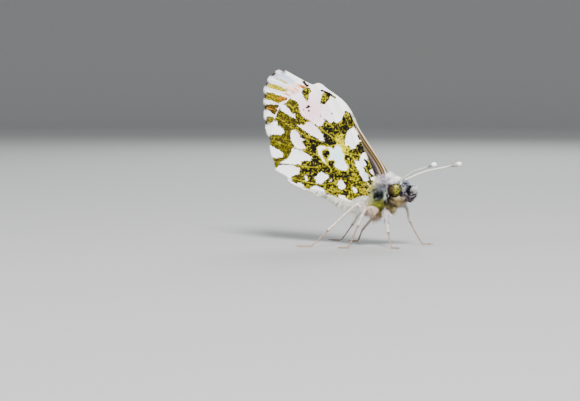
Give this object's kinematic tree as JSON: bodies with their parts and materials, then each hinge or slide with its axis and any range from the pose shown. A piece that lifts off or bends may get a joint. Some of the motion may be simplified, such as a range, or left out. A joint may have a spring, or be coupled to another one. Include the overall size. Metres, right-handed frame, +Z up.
{
  "type": "orange-tip butterfly",
  "caption": "White butterfly at rest, wings closed over its back: green-marbled hindwings, pale forewing tips, hairy body, clubbed antennae.",
  "frame": {"origin": "on the floor under the middle of the butterfly's bounding box", "axes": "+X forwards, towards the head; +Y to the butterfly's left; +Z up"},
  "size_m": [0.0276, 0.0122, 0.0248],
  "materials": {
    "hair_coat": "soft white and grey hair with greenish and beige parts",
    "face_hair": "grey-white hair mixed with black",
    "forewing": "matt white scales, pale yellow-green rays and orange traces at the tip",
    "hindwing": "matt white scales marbled with yellow-green and black",
    "eye": "smooth yellow-green with dark dots",
    "antenna": "white scales over a grey-brown shaft, pale club",
    "leg": "white and pinkish brown scales"
  },
  "bodies": {
    "root": {"thorax": "hair_coat", "head": "hair_coat", "abdomen": "hair_coat", "forewing_right": "forewing", "hindwing_right": "hindwing", "eye_right": "eye", "palp_right": "face_hair", "antenna_right": "antenna", "forewing_left": "forewing", "hindwing_left": "hindwing", "eye_left": "eye", "palp_left": "face_hair", "antenna_left": "antenna", "leg_fore_right": "leg", "leg_fore_left": "leg", "leg_mid_right": "leg", "leg_mid_left": "leg", "leg_hind_right": "leg", "leg_hind_left": "leg"}
  },
  "joints": []
}
